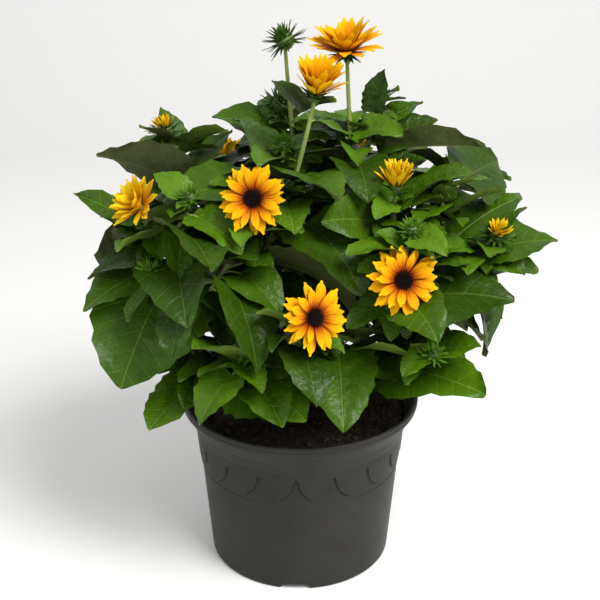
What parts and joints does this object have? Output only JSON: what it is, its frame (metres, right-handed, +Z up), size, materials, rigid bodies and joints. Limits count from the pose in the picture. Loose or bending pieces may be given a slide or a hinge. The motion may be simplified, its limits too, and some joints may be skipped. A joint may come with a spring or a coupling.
{
  "type": "potted sunflower plant",
  "caption": "Bushy dwarf sunflower in bloom, with leafy stems, yellow flowers and spiky buds, growing in a round dark plastic nursery pot.",
  "frame": {"origin": "centre of the pot's flat underside", "axes": "+Z up, -Y towards the plant's best side, +X to its right"},
  "size_m": [0.448, 0.4021, 0.5484],
  "materials": {
    "pot_plastic": "satin injection-moulded, dark anthracite",
    "potting_mix": "loose dark peat with bark bits",
    "stem": "pale green, slightly rough",
    "foliage": "glossy dark green leaf tops, golden yellow rays"
  },
  "bodies": {
    "root": {"pot": "pot_plastic", "potting_mix": "potting_mix", "stem_left": "stem", "stem_right": "stem", "stem_back": "stem", "bough_left_up": "stem", "bough_centre": "stem", "bough_left_front": "stem", "bough_left_out": "stem", "bough_front": "stem", "bough_right_up": "stem", "bough_right_mid": "stem", "bough_right_front": "stem", "bough_right_out": "stem", "bough_back_up": "stem", "bough_back_left": "stem", "bough_back_right": "stem", "bough_back_out": "stem", "foliage_top_bloom": "foliage", "foliage_tall_bloom": "foliage", "foliage_tall_bud": "foliage", "foliage_left_crest": "foliage", "foliage_left_bloom": "foliage", "foliage_crown_bloom": "foliage", "foliage_front_bloom": "foliage", "foliage_right_bloom": "foliage", "foliage_young_bloom": "foliage", "foliage_right_crest": "foliage", "foliage_low_right": "foliage", "foliage_low_front_left": "foliage", "foliage_low_front": "foliage", "foliage_low_left": "foliage", "foliage_back_crest": "foliage", "foliage_back_bloom": "foliage", "foliage_back_left_bloom": "foliage", "foliage_low_back": "foliage", "foliage_low_back_left": "foliage", "foliage_low_back_right": "foliage"}
  },
  "joints": []
}
